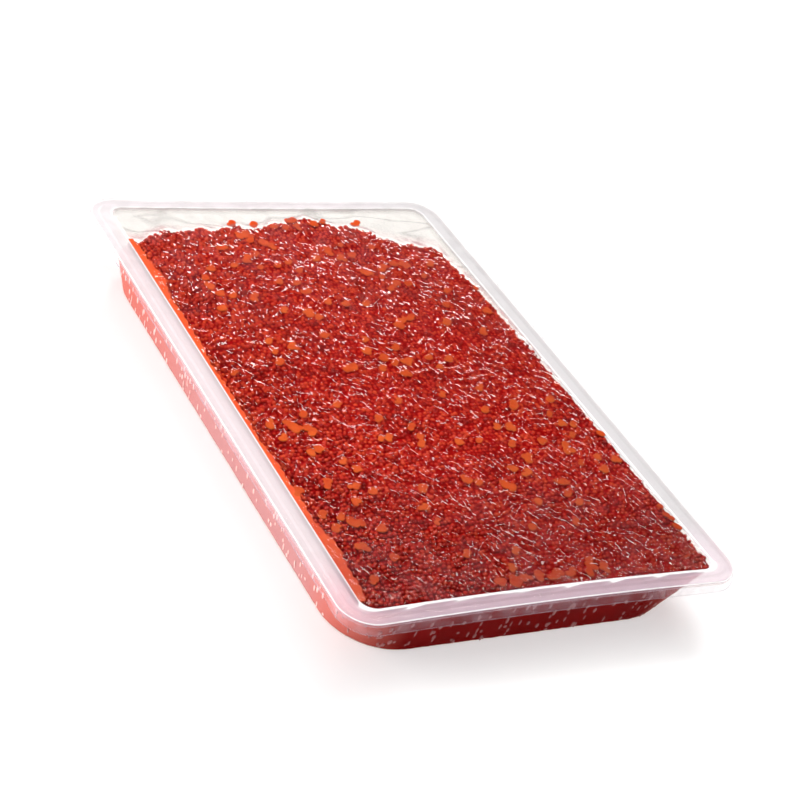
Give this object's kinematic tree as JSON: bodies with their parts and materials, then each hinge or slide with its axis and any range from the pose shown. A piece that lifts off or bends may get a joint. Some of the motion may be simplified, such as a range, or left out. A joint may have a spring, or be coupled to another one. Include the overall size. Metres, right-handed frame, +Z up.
{
  "type": "sealed tray of seaweed caviar",
  "caption": "Shallow clear plastic tray with a wide flat rim, filled with small red seaweed caviar pearls and sealed with a clear film.",
  "frame": {"origin": "middle of the tray's underside, on the surface it rests on", "axes": "+X along the tray's length towards the end that the pearls fill, +Y across it, +Z up through the film"},
  "size_m": [0.2086, 0.1356, 0.0218],
  "materials": {
    "tray_plastic": "milky clear thermoformed plastic, smooth, slightly hazy",
    "caviar_pearls": "wet glossy translucent gel pearls, deep red with orange where they press on the film",
    "lid_film": "clear heat-sealed film, glossy, lightly wrinkled, with a serrated cut edge"
  },
  "bodies": {
    "root": {"tray": "tray_plastic", "caviar": "caviar_pearls", "film": "lid_film"}
  },
  "joints": []
}
